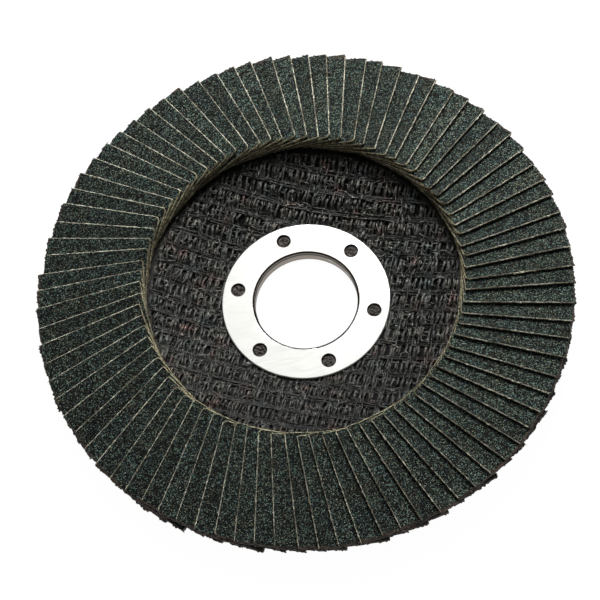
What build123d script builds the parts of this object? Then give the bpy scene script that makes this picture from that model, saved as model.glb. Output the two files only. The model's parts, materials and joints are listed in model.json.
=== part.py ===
from build123d import *
import math
import os

# Flap disc for an angle grinder: a conical ring of overlapping abrasive-cloth
# flaps, glued to a depressed-centre glass-fibre plate with steel hub rings.
# +Z is the bore axis and points to the working side. The origin is on that axis,
# in the rear face of the hub, where the grinder's flange seats.

# --- driving dimensions, millimetres and degrees ---

disc_radius = 57.5          # nominal 115 mm disc
bore_radius = 11.115        # standard 22.23 mm bore

# hub rings
ring_outer_radius = 18.25
front_ring_thickness = 0.90
edge_break = 0.25           # small rounding on the stamped edges
rear_flange_radius = 18.0
rear_flange_thickness = 0.65
sleeve_outer_radius = 12.0
sleeve_height = 1.60
hole_count = 6
hole_radius = 1.50
hole_circle_radius = 15.0
hole_start_angle = 37.7     # angle of the first hole from +X
plug_recess = 0.22          # resin stops this far below the ring's face

# glass-fibre plate, three bonded layers
layer_thickness = 0.50
layer_count = 3
plate_radius = 54.0
bowl_foot_radius = 20.0     # where the flat hub turns up into the bowl
bowl_crest_radius = 32.4    # where the bowl turns over into the rim
bowl_foot_bend = 8.0
bowl_crest_bend = 6.0
front_layer_bore = 11.40    # the front layer reaches in over the sleeve

# flap pack
flap_count = 84
flaps_per_node = 2
flap_width = 14.5
flap_thickness = 0.74       # cloth and grit, measured along Z
flap_step = 0.86            # rise of one flap over the next, along Z
pack_inner_radius = 34.4
face_inner_z = 13.50        # free edge, inner end
face_outer_z = 9.75         # free edge, outer end
flap_start_angle = 0.9      # angle of the first flap from +Y, clockwise
glue_thickness = 0.50
glue_inner_radius = 33.0

# --- values that follow from them ---

flap_pitch = 360.0 / flap_count
half_width = flap_width / 2
flap_inner_x = math.sqrt(pack_inner_radius**2 - half_width**2)
flap_outer_x = math.sqrt(disc_radius**2 - half_width**2)
plate_rear_z = rear_flange_thickness
plate_front_z = plate_rear_z + layer_count * layer_thickness
ring_front_z = plate_front_z + front_ring_thickness


def tilt_at(x):
    """Slope across a flap that lifts it by one flap_step in one pitch."""
    return flap_step / (x * math.sin(math.radians(flap_pitch)))


def glued_edge_z(x, top_z):
    """Underside of a flap at its glued edge."""
    return top_z - flap_thickness - tilt_at(x) * flap_width


glue_inner_z = glued_edge_z(flap_inner_x, face_inner_z)
glue_outer_z = glued_edge_z(flap_outer_x, face_outer_z)
glue_slope = (glue_outer_z - glue_inner_z) / (disc_radius - pack_inner_radius)


def glue_top_z(radius):
    """Height of the cone that all the glued edges stand on."""
    clearance = 0.02
    return glue_inner_z - clearance + glue_slope * (radius - pack_inner_radius)


def save(part, name):
    part.label = name
    export_step(part, os.path.join("parts", name + ".step"))


def revolved(profile):
    return revolve(Plane.XZ * profile, Axis.Z, 360)


# --- hub ---

def hub_holes(bottom, height):
    cutter = Cylinder(hole_radius, height, align=(Align.CENTER, Align.CENTER, Align.MIN))
    ring_of_holes = Pos(0, 0, bottom) * PolarLocations(
        hole_circle_radius, hole_count, start_angle=hole_start_angle
    )
    return [place * cutter for place in ring_of_holes]


def front_ring():
    """Flat stamped washer that the clamp nut presses on."""
    width = ring_outer_radius - bore_radius
    middle = (ring_outer_radius + bore_radius) / 2
    section = Rectangle(width, front_ring_thickness)
    top_corners = section.vertices().group_by(Axis.Y)[-1]
    section = fillet(top_corners, edge_break)
    ring = revolved(Pos(middle, ring_front_z - front_ring_thickness / 2) * section)
    for hole in hub_holes(plate_front_z - 1, front_ring_thickness + 2):
        ring -= hole
    return ring


def rear_ring():
    """Rear washer with the short sleeve that lines the plate's bore."""
    with BuildSketch() as section:
        with BuildLine():
            Polyline(
                (bore_radius, 0),
                (rear_flange_radius, 0),
                (rear_flange_radius, rear_flange_thickness),
                (sleeve_outer_radius, rear_flange_thickness),
                (sleeve_outer_radius, sleeve_height),
                (bore_radius, sleeve_height),
                close=True,
            )
        make_face()
    return revolved(section.sketch)


def resin_plugs():
    """Resin and fibre squeezed up into the front ring's holes."""
    height = front_ring_thickness - plug_recess
    return Compound(children=hub_holes(plate_front_z, height))


# --- glass-fibre plate ---

def rim_z(radius):
    """Front surface of the plate's rim, under the glue."""
    return glue_top_z(radius) - glue_thickness


def plate_line(inner_radius, drop):
    """Section line of the plate's front surface, lowered by drop."""
    rim_point = (bowl_crest_radius, rim_z(bowl_crest_radius) - drop)
    return FilletPolyline(
        (inner_radius, plate_front_z - drop),
        (bowl_foot_radius, plate_front_z - drop),
        rim_point,
        (plate_radius, rim_z(plate_radius) - drop),
        radius=[bowl_foot_bend, bowl_crest_bend],
    )


def shell_section(inner_radius, top_drop, bottom_drop):
    with BuildSketch() as section:
        with BuildLine():
            top = plate_line(inner_radius, top_drop)
            bottom = plate_line(inner_radius, bottom_drop)
            Line(top @ 0, bottom @ 0)
            Line(top @ 1, bottom @ 1)
        make_face()
    return section.sketch


def fibre_layer(index):
    """One pressed disc of resin-bonded glass mesh, counted from the front."""
    inner_radius = front_layer_bore if index == 0 else sleeve_outer_radius
    drop = index * layer_thickness
    return revolved(shell_section(inner_radius, drop, drop + layer_thickness))


# --- flap pack ---

def flap_glue():
    """Adhesive bead between the plate's rim and the flaps' glued edges."""
    deep = 3.0
    with BuildSketch() as section:
        with BuildLine():
            Polyline(
                (glue_inner_radius, glue_top_z(glue_inner_radius)),
                (plate_radius, glue_top_z(plate_radius)),
                (plate_radius, rim_z(plate_radius) - deep),
                (glue_inner_radius, rim_z(glue_inner_radius) - deep),
                close=True,
            )
        make_face()
    plate = shell_section(sleeve_outer_radius, 0, 2 * deep)
    return revolved(section.sketch - plate)


def flap_end(x, top_z):
    """Cross-section of a flap at distance x along it; its free edge is at -Y."""
    low_z = top_z - tilt_at(x) * flap_width
    corners = [
        (x, -half_width, top_z),
        (x, half_width, low_z),
        (x, half_width, low_z - flap_thickness),
        (x, -half_width, top_z - flap_thickness),
    ]
    return Face(Wire.make_polygon(corners, close=True))


def flap():
    inner = flap_end(flap_inner_x, face_inner_z)
    outer = flap_end(flap_outer_x, face_outer_z)
    return Solid.make_loft([inner.outer_wire(), outer.outer_wire()], ruled=True)


def flap_group(first):
    """Neighbouring flaps, counted clockwise as seen from the working side."""
    blank = flap()
    turns = [90 - flap_start_angle - flap_pitch * (first + i) for i in range(flaps_per_node)]
    return Compound(children=[Rot(0, 0, turn) * blank for turn in turns])


# --- write every piece ---

os.makedirs("parts", exist_ok=True)
save(front_ring(), "front_ring")
save(rear_ring(), "rear_ring")
save(resin_plugs(), "resin_plugs")
for index, layer_name in enumerate(["fibre_layer_front", "fibre_layer_middle", "fibre_layer_rear"]):
    save(fibre_layer(index), layer_name)
save(flap_glue(), "flap_glue")
for group in range(flap_count // flaps_per_node):
    save(flap_group(group * flaps_per_node), f"flaps_{group + 1:02d}")
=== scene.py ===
import json
import math
from functools import partial

import bmesh
import bpy
import numpy as np
from bpy.props import FloatProperty, FloatVectorProperty, IntProperty, PointerProperty
from mathutils import Matrix, Vector, noise

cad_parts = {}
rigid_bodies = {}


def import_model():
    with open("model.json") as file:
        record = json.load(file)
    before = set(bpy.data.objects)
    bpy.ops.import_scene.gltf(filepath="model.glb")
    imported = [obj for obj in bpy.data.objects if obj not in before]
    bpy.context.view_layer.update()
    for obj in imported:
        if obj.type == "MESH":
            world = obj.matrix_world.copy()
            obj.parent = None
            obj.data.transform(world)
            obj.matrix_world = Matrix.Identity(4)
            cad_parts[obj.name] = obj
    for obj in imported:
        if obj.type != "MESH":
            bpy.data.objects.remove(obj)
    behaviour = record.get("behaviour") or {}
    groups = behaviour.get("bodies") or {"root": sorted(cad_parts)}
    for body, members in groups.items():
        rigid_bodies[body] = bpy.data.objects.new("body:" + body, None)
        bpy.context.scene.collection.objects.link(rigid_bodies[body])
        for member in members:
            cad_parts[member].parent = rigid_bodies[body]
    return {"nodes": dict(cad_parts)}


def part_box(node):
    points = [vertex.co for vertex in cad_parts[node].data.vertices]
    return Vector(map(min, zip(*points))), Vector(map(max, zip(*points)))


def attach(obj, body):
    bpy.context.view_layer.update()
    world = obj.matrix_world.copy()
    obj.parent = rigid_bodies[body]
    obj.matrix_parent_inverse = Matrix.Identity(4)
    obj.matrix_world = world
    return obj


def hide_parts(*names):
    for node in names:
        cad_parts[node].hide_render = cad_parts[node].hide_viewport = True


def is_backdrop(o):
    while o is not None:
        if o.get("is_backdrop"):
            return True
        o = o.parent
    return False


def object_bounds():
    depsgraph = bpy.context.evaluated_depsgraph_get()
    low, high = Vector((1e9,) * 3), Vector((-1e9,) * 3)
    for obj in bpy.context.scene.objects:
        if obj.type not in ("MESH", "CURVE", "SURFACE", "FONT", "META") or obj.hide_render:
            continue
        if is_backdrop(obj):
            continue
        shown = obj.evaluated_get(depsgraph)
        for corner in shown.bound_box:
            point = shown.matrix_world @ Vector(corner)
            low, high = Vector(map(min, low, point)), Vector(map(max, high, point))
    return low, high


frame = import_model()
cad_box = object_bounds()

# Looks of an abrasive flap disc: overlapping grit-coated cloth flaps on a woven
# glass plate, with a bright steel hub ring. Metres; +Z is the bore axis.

bl_info = {
    "name": "Flap Disc",
    "version": (1, 0, 0),
    "blender": (4, 5, 0),
    "location": "View3D > Sidebar > Flap Disc",
    "description": "Builds the looks of an abrasive flap disc around its packed frame",
    "category": "Object",
}

BODY = "root"
MM = 0.001
MATHS = "ShaderNodeMath"
VECTORS = "ShaderNodeVectorMath"
RAMP = "ShaderNodeValToRGB"
RANDOM = "FunctionNodeRandomValue"
STORED = "GeometryNodeInputNamedAttribute"
FULL_TURN = 2 * math.pi
QUARTER_TURN = math.pi / 2
MIDDLE_GREY = (0.5, 0.5, 0.5)         # a noise colour's mean

# seeds of the random choices that have no setting of their own
FLAP_SEEDS = (11, 12, 13, 14)         # slide, lift, tone and kind of each flap
CROWN_SEED = 5                        # height of each strand
FRAY_SEED, FRAY_KIND_SEED = 31, 36    # the first of five draws, and the choice of a shape
LOOSE_SEED, LOOSE_KIND_SEED = 41, 51  # the first of ten draws, and the choice of a shape

FLAPS_PER_NODE = 2
# corner radius in mm and lean of the cut ends, for each kind of flap
FLAP_SHAPES = ((0.12, 0.0), (0.25, 0.02), (0.35, -0.015), (0.8, 0.01))
FLAP_ROWS = 112                       # points along a flap
# depths of a flap's columns from its free edge: fine where they show, coarse where they don't
FINE_ACROSS = np.arange(0, 5.01, 0.2) * MM
COARSE_FROM, COARSE_COLUMNS = 5.8 * MM, 13
THREAD_GIRTH = 0.055                  # half a thread's thickness in mm

RAY_START = 30 * MM                   # how far off the plate a ray starts
PRESS_BAND = 2.2 * MM                 # strands rise to full height over this width
PRESSED = 0.35                        # share of its height that a pressed strand keeps
RIM_MARGIN = 0.4 * MM                 # a strand that would lie nearer to the rim is left out
WANDER_LENGTH = 2.4 * MM              # a strand strays from its line over about this length
PAIR_STEP, SEED_STEP = 0.011, 0.37    # how far apart in the noise strands and seeds are

HOLES = 6
PLUG_RINGS, PLUG_SPOKES = 12, 36
# how far a plug is sunk, dips at its rim and stands up in lumps, and how wide a lump is
PLUG_SUNK, PLUG_DIP, PLUG_ROUGH, PLUG_LUMP = 0.2 * MM, 0.25 * MM, 0.3 * MM, 0.7 * MM
BORE_MARGIN, HOLE_MARGIN = 0.35 * MM, 2 * MM
# how far a face's normal leans to Z: at least LEVEL on a flat face, less than SHEER on a wall
LEVEL, STEEP, SHEER = 0.985, 0.5, 0.05
EDGE_WEAR, HOLE_REACH = 0.65, 1.04    # slope of the worn edge; what counts as a hole's rim
NECK_RADIUS, NECK_Z = 11.38 * MM, 1.62 * MM
SLEEVE_FROM = 1.2 * MM                # the rear ring's sleeve starts above this height
LIP_GAP = 0.08 * MM                   # between the sleeve's lip and the front ring

FLOOR_SPOKES = 64
# a flat floor that sweeps up into a wall all round: radius and height in metres
FLOOR_PROFILE = ((2.2, 0.0), (2.5, 0.02), (2.8, 0.09), (3.0, 0.22), (3.1, 0.42))
# the near key, behind and to the right, models the flaps; the wide panel whitens the ring
KEY_AT, KEY_WIDTH = (0.085, 0.205, 0.245), 0.16
OVERHEAD_AT, OVERHEAD_WIDTH = (0.03, 0.42, 0.91), 0.8
LIGHTS_AIM = (0, 0, 5 * MM)


# ---------------------------------------------------------------- helpers

def linear(hex_colour):
    """An sRGB hex colour as linear RGBA."""
    parts = [int(hex_colour[i:i + 2], 16) / 255 for i in (1, 3, 5)]
    curve = [c / 12.92 if c <= 0.04045 else ((c + 0.055) / 1.055) ** 2.4 for c in parts]
    return (*curve, 1.0)


def scaled(colour, factor):
    return (*(c * factor for c in colour[:3]), 1.0)


def fill(made, inputs):
    """Sets the inputs of a node that are in use, in their order or by name.

    An output given for one is linked to it. A node stands for its first output in use.
    """
    sockets = [socket for socket in made.inputs if socket.enabled]
    if isinstance(inputs, dict):
        names = [socket.name for socket in sockets]
        pairs = [(sockets[names.index(name)], value) for name, value in inputs.items()]
    else:
        pairs = zip(sockets, inputs)
    for socket, value in pairs:
        if isinstance(value, bpy.types.Node):
            value = next(output for output in value.outputs if output.enabled)
        if isinstance(value, bpy.types.NodeSocket):
            made.id_data.links.new(value, socket)
        else:
            socket.default_value = value


def node(tree, kind, inputs=(), stops=(), **settings):
    """Adds a node with its settings and links. stops are a ramp's (position, colour) pairs."""
    made = tree.nodes.new(kind)
    for key, value in settings.items():
        setattr(made, key, value)
    if stops:
        elements = made.color_ramp.elements
        for _ in stops[len(elements):]:
            elements.new(0.5)
        for element, (position, colour) in zip(elements, stops):
            element.position, element.color = position, colour
    fill(made, inputs)
    return made


def mesh_object(name, mesh):
    made = bpy.data.objects.new(name, mesh)
    bpy.context.scene.collection.objects.link(made)
    return made


def built(name, builder, outward=True, smooth=True):
    """Turns a bmesh into an object, with its faces turned outwards and shaded smooth."""
    if outward:
        bmesh.ops.recalc_face_normals(builder, faces=builder.faces)
    mesh = bpy.data.meshes.new(name)
    builder.to_mesh(mesh)
    builder.free()
    if smooth:
        mesh.shade_smooth()
    return mesh_object(name, mesh)


def discard(blanks):
    """Takes away shapes that a tree has copied and nothing else needs."""
    for blank in blanks:
        bpy.data.objects.remove(blank)


def coat_node(name, finish):
    """Gives a CAD node that stays in view its one finish."""
    slots = frame["nodes"][name].data.materials
    slots.clear()
    slots.append(finish)


def place(piece, slot, *nodes):
    """Rides a finished piece on the disc and hides the CAD nodes that it stands for."""
    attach(piece, BODY)
    if nodes:
        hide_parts(*nodes)


def new_tree(name, sockets):
    """A geometry tree, what adds its nodes, and its inputs by name.

    sockets maps an input's name to its kind and default.
    """
    tree = bpy.data.node_groups.new(name, "GeometryNodeTree")
    for label, (kind, default) in sockets.items():
        made = tree.interface.new_socket(label, in_out="INPUT", socket_type="NodeSocket" + kind)
        if default is not None:
            made.default_value = default
    tree.interface.new_socket("Geometry", in_out="OUTPUT", socket_type="NodeSocketGeometry")
    add = partial(node, tree)
    return tree, add, add("NodeGroupInput").outputs


def grown(name, tree, values):
    """Runs a geometry tree once with the values given and returns the plain mesh as an object."""
    seed_mesh = bpy.data.meshes.new(name + "_seed")
    host = mesh_object(name, seed_mesh)
    modifier = host.modifiers.new("Grow", "NODES")
    modifier.node_group = tree
    for item in tree.interface.items_tree:
        if item.item_type == "SOCKET" and item.in_out == "INPUT" and item.name in values:
            modifier[item.identifier] = values[item.name]
    bpy.context.view_layer.update()
    graph = bpy.context.evaluated_depsgraph_get()
    mesh = bpy.data.meshes.new_from_object(host.evaluated_get(graph), depsgraph=graph)
    host.modifiers.remove(modifier)
    host.data = mesh
    mesh.name = name
    bpy.data.meshes.remove(seed_mesh)
    return host


# ---------------------------------------------------------------- settings

class FlapSettings(bpy.types.PropertyGroup):
    count: IntProperty(name="Flaps", description="Flaps round the disc", default=84, min=12)
    per_sector: IntProperty(
        name="Flaps per piece", description="Flaps joined in one piece", default=14
    )
    width: FloatProperty(
        name="Width", description="Width of a flap", default=14.5 * MM, unit="LENGTH"
    )
    thickness: FloatProperty(
        name="Thickness", description="Cloth and grit, along Z", default=0.74 * MM, unit="LENGTH"
    )
    step: FloatProperty(
        name="Step", description="Rise of one flap over the next", default=0.86 * MM, unit="LENGTH"
    )
    inner_radius: FloatProperty(
        name="Inner radius", description="Inner corners of the free edges", default=34.4 * MM,
        unit="LENGTH",
    )
    outer_radius: FloatProperty(
        name="Outer radius", description="Outer corners", default=57.5 * MM, unit="LENGTH"
    )
    inner_z: FloatProperty(
        name="Inner height", description="Free edge, inner end", default=13.5 * MM, unit="LENGTH"
    )
    outer_z: FloatProperty(
        name="Outer height", description="Free edge, outer end", default=9.75 * MM, unit="LENGTH"
    )
    first_angle: FloatProperty(
        name="First angle", description="First flap, clockwise from +Y",
        default=math.radians(0.9), subtype="ANGLE",
    )
    grain: FloatProperty(
        name="Grain", description="Typical size of an abrasive grain", default=0.19 * MM,
        unit="LENGTH",
    )
    chamfer: FloatProperty(
        name="Cut edge", description="Width of the pale line along a cut", default=0.19 * MM,
        unit="LENGTH",
    )
    seed: IntProperty(name="Seed", description="Random choices of the flaps", default=7)
    grit_colour: FloatVectorProperty(
        name="Grit", description="Mean colour of the coated face", subtype="COLOR", size=4,
        default=linear("#303833"),
    )
    cut_colour: FloatVectorProperty(
        name="Cut cloth", description="Cotton fibres laid bare by the cut", subtype="COLOR",
        size=4, default=linear("#D2CEB8"),
    )
    resin_colour: FloatVectorProperty(
        name="Soaked cloth", description="Resin-soaked cloth at the cut ends", subtype="COLOR",
        size=4, default=linear("#4A4632"),
    )


class PlateSettings(bpy.types.PropertyGroup):
    warp_pitch: FloatProperty(
        name="Warp pitch", description="Spacing of the warp rovings", default=3.96 * MM,
        unit="LENGTH",
    )
    weft_pitch: FloatProperty(
        name="Weft pitch", description="Spacing of the weft rovings", default=4.18 * MM,
        unit="LENGTH",
    )
    direction: FloatProperty(
        name="Direction", description="Angle of the warp from +X", default=math.radians(-24.0),
        subtype="ANGLE",
    )
    warp_shift: FloatProperty(
        name="Warp shift", description="Offset of the warp from the centre", default=1.58 * MM,
        unit="LENGTH",
    )
    filaments: IntProperty(
        name="Filaments", description="Loose filaments on each face", default=2600
    )
    strand_radius: FloatProperty(
        name="Strand radius", description="Half the width of one bundle of filaments",
        default=0.27 * MM, unit="LENGTH",
    )
    crimp: FloatProperty(
        name="Crimp", description="How far a roving climbs over a crossing", default=0.3 * MM,
        unit="LENGTH",
    )
    seed: IntProperty(name="Seed", description="Random wander of the strands", default=21)
    # the plate's resin is drawn near-black, partly its own black and partly painted shade for the deep
    # holes between the strands
    resin_colour: FloatVectorProperty(
        name="Resin", description="Black phenolic resin", subtype="COLOR", size=4,
        default=linear("#050505"),
    )
    glass_colour: FloatVectorProperty(
        name="Coated glass", description="Glass strands under a thin coat of resin",
        subtype="COLOR", size=4, default=linear("#2C2C2A"),
    )


class HubSettings(bpy.types.PropertyGroup):
    bore_radius: FloatProperty(
        name="Bore radius", description="Radius of the hub's bore", default=11.115 * MM,
        unit="LENGTH",
    )
    lip: FloatProperty(
        name="Lip", description="How much wider the front ring's hole is", default=0.12 * MM,
        unit="LENGTH",
    )
    hole_circle: FloatProperty(
        name="Hole circle", description="Radius of the circle of six holes", default=15.0 * MM,
        unit="LENGTH",
    )
    hole_radius: FloatProperty(
        name="Hole radius", description="Radius of one hole", default=1.5 * MM, unit="LENGTH"
    )
    hole_wear: FloatProperty(
        name="Hole wear", description="How many times wider a hole's mouth is than drawn",
        default=1.06,
    )
    hole_angle: FloatProperty(
        name="Hole angle", description="Angle of the first hole from +X",
        default=math.radians(37.7), subtype="ANGLE",
    )
    steel_colour: FloatVectorProperty(
        name="Steel", description="Bright tinplate", subtype="COLOR", size=4,
        default=linear("#D8D8D4"),
    )
    plug_colour: FloatVectorProperty(
        name="Plug", description="Resin in the ring's holes", subtype="COLOR", size=4,
        default=linear("#251E18"),
    )


class StageSettings(bpy.types.PropertyGroup):
    elevation: FloatProperty(
        name="Elevation", description="Camera's height angle", default=math.radians(65.64),
        subtype="ANGLE",
    )
    roll: FloatProperty(
        name="Roll", description="Camera's turn about its own axis",
        default=math.radians(-12.18), subtype="ANGLE",
    )
    distance: FloatProperty(
        name="Distance", description="Camera to the hub's front face", default=0.400,
        unit="LENGTH",
    )
    lens: FloatProperty(name="Lens", description="Focal length in millimetres", default=111.36)
    aim_right: FloatProperty(
        name="Aim right", description="Hub's place right of the picture's centre",
        default=1.259 * MM, unit="LENGTH",
    )
    aim_up: FloatProperty(
        name="Aim up", description="Hub's place above the picture's centre",
        default=0.045 * MM, unit="LENGTH",
    )
    key_power: FloatProperty(name="Key power", description="Key light in watts", default=1.35)
    overhead_power: FloatProperty(
        name="Overhead power", description="Overhead panel in watts", default=1.85
    )
    ambient: FloatProperty(
        name="Ambient", description="Strength of the studio's white walls", default=0.13
    )
    glow: FloatProperty(
        name="Glow", description="Strength of the light that the floor gives", default=0.98
    )
    floor_colour: FloatVectorProperty(
        name="Floor", description="Matt paint under the floor's own glow", subtype="COLOR",
        size=4, default=linear("#3A3A3A"),
    )


# ---------------------------------------------------------------- materials

def new_material(name):
    """An empty node material, what adds its nodes, and its Object coordinates."""
    material = bpy.data.materials.new(name)
    material.use_nodes = True
    add = partial(node, material.node_tree)
    return material, add, add("ShaderNodeTexCoord").outputs["Object"]


def dressed(material, **sockets):
    """The material with its shader's sockets set or linked; Base_Color stands for Base Color."""
    shader = material.node_tree.nodes["Principled BSDF"]
    fill(shader, {name.replace("_", " "): value for name, value in sockets.items()})
    return material


def grit_material(settings):
    """Zirconia-alumina grit in a size coat of resin: matt dark facets, a few of them bright."""
    material, add, spot = new_material("zirconia_grit_size_coat")
    grit = settings.grit_colour
    grains = add("ShaderNodeTexVoronoi", {"Vector": spot, "Scale": 1 / settings.grain}, feature="F1")
    shade = add("ShaderNodeSeparateColor", [grains.outputs["Color"]]).outputs
    facets = add(RAMP, [shade[0]], stops=(
        (0.0, scaled(grit, 0.02)), (0.5, scaled(grit, 0.12)),
        (0.74, scaled(grit, 1.2)), (1.0, scaled(grit, 7.5)),
    ))
    # single grains lean to green, to blue or to brown
    hues = add(RAMP, [shade[2]], stops=(
        (0.0, (0.80, 1.08, 0.92, 1)), (0.35, (0.88, 0.99, 1.14, 1)),
        (0.7, (1.04, 0.99, 0.94, 1)), (1.0, (1.42, 0.97, 0.70, 1)),
    ))
    # painted shade: gaps between grains are drawn darker, as if deeper
    painted_gap_shade = add("ShaderNodeMapRange", [grains, 0.3, 0.8, 1.1, 0.25])
    # the coat drifts from teal to brown over about 5 mm
    drift = add("ShaderNodeTexNoise", {"Vector": spot, "Scale": 1 / (5 * MM), "Detail": 3.0})
    cast = add(RAMP, [drift], stops=((0.35, (0.93, 1.01, 1.05, 1)), (0.65, (1.08, 1.0, 0.92, 1))))
    tone = add("ShaderNodeAttribute", attribute_name="tone", attribute_type="GEOMETRY")
    level = add("ShaderNodeMapRange", [tone.outputs["Fac"], 0.0, 1.0, 0.8, 1.2])
    factor = add(MATHS, [painted_gap_shade, level], operation="MULTIPLY")
    coat = add(VECTORS, [facets, hues], operation="MULTIPLY")
    coat = add(VECTORS, [coat, cast], operation="MULTIPLY")
    coat = add(VECTORS, [coat, factor], operation="SCALE")
    # scorched brown along the outer cut
    flat = add(VECTORS, [spot, (1, 1, 0)], operation="MULTIPLY")
    radius = add(VECTORS, [flat], operation="LENGTH")
    wander = add(MATHS, [drift, 1.6 * MM, radius], operation="MULTIPLY_ADD")
    outer = settings.outer_radius
    scorch = add("ShaderNodeMapRange", [wander, outer + 0.1 * MM, outer + 0.7 * MM, 0.0, 0.75])
    coat = add("ShaderNodeMix", [scorch, coat, linear("#4A3A31")], data_type="RGBA")
    dull = add("ShaderNodeMapRange", [shade[1], 0.0, 1.0, 0.35, 0.9])
    bump = add(
        "ShaderNodeBump", {"Strength": 1.0, "Distance": 0.12 * MM, "Height": grains}, invert=True
    )
    return dressed(
        material, Base_Color=coat, Specular_IOR_Level=0.15, Roughness=dull, Normal=bump
    )


def cut_line_material(name, colour, bright):
    """Cotton laid bare along a cut: a broken pale line of fibre ends, brighter where bright is 1."""
    material, add, spot = new_material(name)
    ends = add(
        "ShaderNodeTexNoise",
        {"Vector": spot, "Scale": 1 / (0.55 * MM), "Detail": 3.0, "Roughness": 0.65},
    )
    pale = scaled(colour, bright)
    line = add(RAMP, [ends], stops=(
        (0.34, scaled(pale, 0.12)), (0.46, scaled(pale, 0.42)), (0.60, pale),
        (0.68, scaled(pale, 1.25)),
    ))
    # whole stretches of the line are worn away, over about 7 mm
    worn = add("ShaderNodeTexNoise", {"Vector": spot, "Scale": 140.0, "Detail": 1.0})
    kept = add(RAMP, [worn], stops=((0.36, (0.45, 0.42, 0.38, 1)), (0.52, (1, 1, 1, 1))))
    colours = add(VECTORS, [line, kept], operation="MULTIPLY")
    return dressed(material, Base_Color=colours, Roughness=0.85)


def cut_side_material(name, colour, streak):
    """Resin-soaked cloth across a cut, with painted shade toward its foot, painted light along its top
    and paler yarns lying along it near the top.
    """
    material, add, spot = new_material(name)
    # yarns lie level, so the pattern is stretched round the disc and tight in height
    squeezed = add("ShaderNodeMapping", {"Vector": spot, "Scale": (1.0, 1.0, 5.0)})
    yarns = add(
        "ShaderNodeTexNoise",
        {"Vector": squeezed, "Scale": 1 / (1.4 * MM), "Detail": 4.0, "Roughness": 0.7},
    )
    cloth = add(RAMP, [yarns], stops=(
        (0.36, scaled(colour, 0.2)), (0.5, colour), (0.58, scaled(colour, 1.8)),
        (0.66, scaled(colour, streak)),
    ))
    # painted shade and light: level, 0 at a cut's foot and 1 at its top, darkens the cloth below and
    # brightens it above
    depth = add("ShaderNodeAttribute", attribute_name="level", attribute_type="GEOMETRY")
    shadow = add(RAMP, [depth.outputs["Fac"]], stops=(
        (0.0, (0.04, 0.04, 0.04, 1)), (0.45, (0.4, 0.4, 0.4, 1)), (1.0, (1.3, 1.3, 1.3, 1)),
    ))
    colours = add(VECTORS, [cloth, shadow], operation="MULTIPLY")
    bump = add("ShaderNodeBump", {"Strength": 0.9, "Distance": 0.12 * MM, "Height": yarns})
    return dressed(material, Base_Color=colours, Roughness=0.8, Normal=bump)


def cloth_back_material(settings):
    """Back of the cloth: olive twill, yarns 0.6 mm apart, drawn a little coarse so that it shows."""
    material, add, spot = new_material("resin_filled_cotton_twill")
    soaked = settings.resin_colour
    waves = add(
        "ShaderNodeTexWave", {"Vector": spot, "Scale": 1 / (3.8 * MM), "Distortion": 1.5},
        bands_direction="DIAGONAL",
    ).outputs["Fac"]
    twill = add(RAMP, [waves], stops=((0.0, scaled(soaked, 0.7)), (1.0, scaled(soaked, 2.2))))
    bump = add("ShaderNodeBump", {"Strength": 0.5, "Distance": 0.1 * MM, "Height": waves})
    return dressed(material, Base_Color=twill, Roughness=0.75, Normal=bump)


def glass_material(settings, name, bright, shine):
    """Glass under a thin coat of black resin: semi-gloss, grey where the coat is thin."""
    material, add, spot = new_material(name)
    worn = add(
        "ShaderNodeTexNoise",
        {"Vector": spot, "Scale": 1 / (0.9 * MM), "Detail": 5.0, "Roughness": 0.7},
    )
    thin = scaled(settings.glass_colour, bright)
    coat = add(RAMP, [worn], stops=(
        (0.40, settings.resin_colour), (0.56, thin), (0.70, scaled(thin, 3.4)),
    ))
    # where the resin is thick it goes red-brown in places and green in others, over about 5 mm
    cast = add("ShaderNodeTexNoise", {"Vector": spot, "Scale": 210.0, "Detail": 2.0})
    warm = add(RAMP, [cast], stops=(
        (0.30, (0.82, 1.02, 1.0, 1)), (0.45, (0.98, 1.0, 0.95, 1)),
        (0.60, (1.05, 0.99, 0.93, 1)), (0.74, (1.6, 0.94, 0.88, 1)),
    ))
    coat = add(VECTORS, [coat, warm], operation="MULTIPLY")
    # painted shade: the coat is drawn darker toward -Y, the plate's near side
    across = add("ShaderNodeSeparateXYZ", [spot]).outputs["Y"]
    painted_near_shade = add("ShaderNodeMapRange", [across, -30 * MM, -8 * MM, 0.55, 1.0])
    coat = add(VECTORS, [coat, painted_near_shade], operation="SCALE")
    gloss = add("ShaderNodeMapRange", [worn, 0.3, 0.7, 0.26, 0.6])
    fine = add("ShaderNodeTexNoise", {"Vector": spot, "Scale": 1 / (0.3 * MM), "Detail": 2.0})
    bump = add("ShaderNodeBump", {"Strength": 0.9, "Distance": 0.12 * MM, "Height": fine})
    return dressed(
        material, Base_Color=coat, Roughness=gloss, Specular_IOR_Level=shine, Normal=bump
    )


def resin_material(name, colour, lump, rough, shine=0.5):
    """Cured resin: dark and smooth to the light, with lumps of the size given."""
    material, add, spot = new_material(name)
    lumps = add("ShaderNodeTexNoise", {"Vector": spot, "Scale": 1 / lump, "Detail": 4.0})
    resin = add(RAMP, [lumps], stops=((0.35, scaled(colour, 0.6)), (0.75, scaled(colour, 1.8))))
    bump = add("ShaderNodeBump", {"Strength": 0.7, "Distance": 0.25 * lump, "Height": lumps})
    return dressed(
        material, Base_Color=resin, Roughness=rough, Specular_IOR_Level=shine, Normal=bump
    )


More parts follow.
